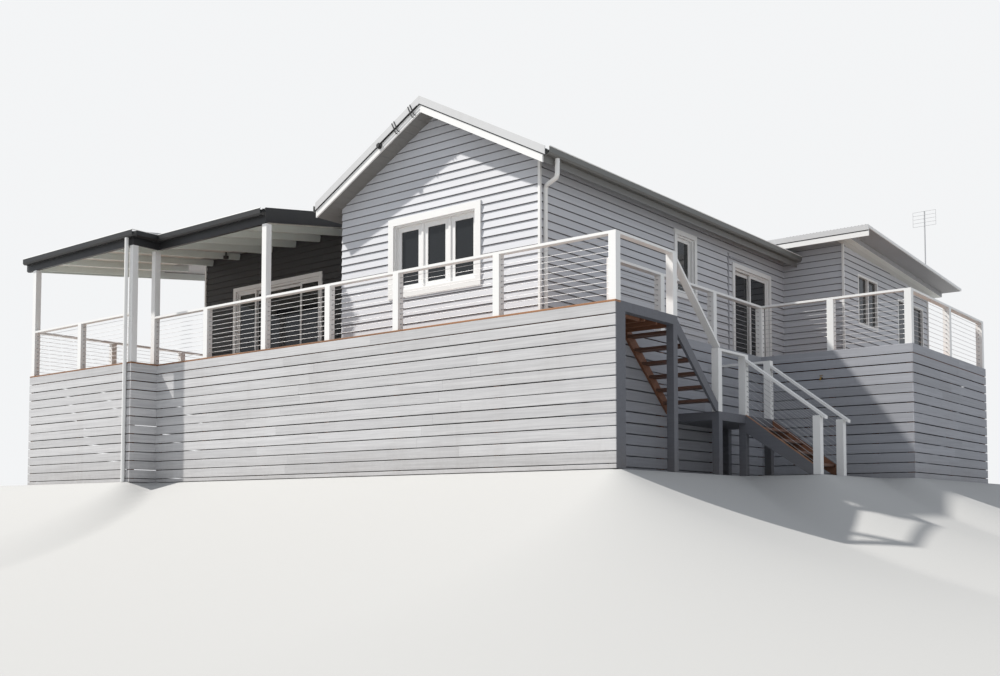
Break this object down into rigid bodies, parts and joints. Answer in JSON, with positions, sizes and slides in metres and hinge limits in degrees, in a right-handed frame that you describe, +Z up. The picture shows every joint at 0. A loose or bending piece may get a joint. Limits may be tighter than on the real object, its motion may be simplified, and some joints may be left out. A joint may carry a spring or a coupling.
{
  "type": "beach house, raised weatherboard cottage with verandah and decks",
  "caption": "Raised weatherboard beach house with a gabled block, skillion verandah, timber decks, wire balustrades and an outside stair; two doors slide.",
  "frame": {"origin": "centre of the foot of the post under the front right corner of the deck, at ground level", "axes": "+X right along the front, +Y towards the back, +Z up"},
  "size_m": [17.142, 16.829, 6.57],
  "materials": {
    "board_light": "painted weatherboard, pale blue-gray satin",
    "board_dark": "painted weatherboard, dark charcoal",
    "base_dark": "painted base boards, gray",
    "skirt": "painted rough-sawn skirt boards, light gray",
    "trim_white": "white painted timber",
    "metal_dark": "dark charcoal coated steel",
    "gutter_gray": "mid gray coated steel",
    "roof_metal": "corrugated coated steel",
    "lining": "painted lining and rafters",
    "decking": "oiled hardwood decking",
    "frame_timber": "treated pine framing",
    "stair_gray": "painted stair timber, charcoal",
    "floor": "timber floor",
    "steel": "stainless",
    "glass": "clear glass",
    "downpipe": "white painted pipe"
  },
  "bodies": {
    "house": {"base_walls": "base_dark", "house_floors": "floor", "main_front_wall": "board_light", "main_left_wall": "board_light", "main_right_wall": "board_light", "back_walls": "board_light", "main_roof_left": "roof_metal", "main_roof_right": "roof_metal", "roof_cappings": "roof_metal", "barge_boards": "trim_white", "gutters": "gutter_gray", "verandah_gutters": "metal_dark", "downpipes": "downpipe", "corner_boards": "trim_white", "front_window": "trim_white", "side_window": "trim_white", "fixed_glass": "glass", "side_door_frame": "trim_white", "left_wing_front_wall": "board_dark", "left_wing_walls": "board_light", "verandah_door_frame": "trim_white", "left_wing_roof": "roof_metal", "verandah_roof": "roof_metal", "verandah_rafters": "lining", "verandah_beams": "metal_dark", "verandah_barges": "metal_dark", "verandah_posts": "trim_white", "right_wing_front_wall": "board_light", "right_wing_side_wall": "board_light", "right_wing_roof": "roof_metal", "right_wing_fascia": "trim_white", "right_wing_window": "trim_white", "front_deck": "decking", "side_deck": "decking", "deck_frame": "frame_timber", "deck_stumps": "frame_timber", "front_skirt": "skirt", "side_skirt": "skirt", "stair_opening_frame": "stair_gray", "stair_treads": "decking", "upper_stringer_left": "frame_timber", "upper_stringer_right": "stair_gray", "lower_stringers": "stair_gray", "stair_landing": "stair_gray", "front_balustrade": "trim_white", "stair_head_balustrade": "trim_white", "walkway_balustrade": "trim_white", "side_deck_balustrades": "trim_white", "stair_balustrades": "trim_white", "tv_antenna": "steel"},
    "side_door": {"side_door_panel": "trim_white", "side_door_glass": "glass"},
    "verandah_door": {"verandah_door_panel": "trim_white", "verandah_door_glass": "glass"}
  },
  "joints": [
    {"name": "side_door_slide", "type": "slide", "parent": "house", "child": "side_door", "axis": [0, 1, 0], "range_m": [0, 0.74]},
    {"name": "verandah_door_slide", "type": "slide", "parent": "house", "child": "verandah_door", "axis": [-1, 0, 0], "range_m": [0, 0.57]}
  ]
}
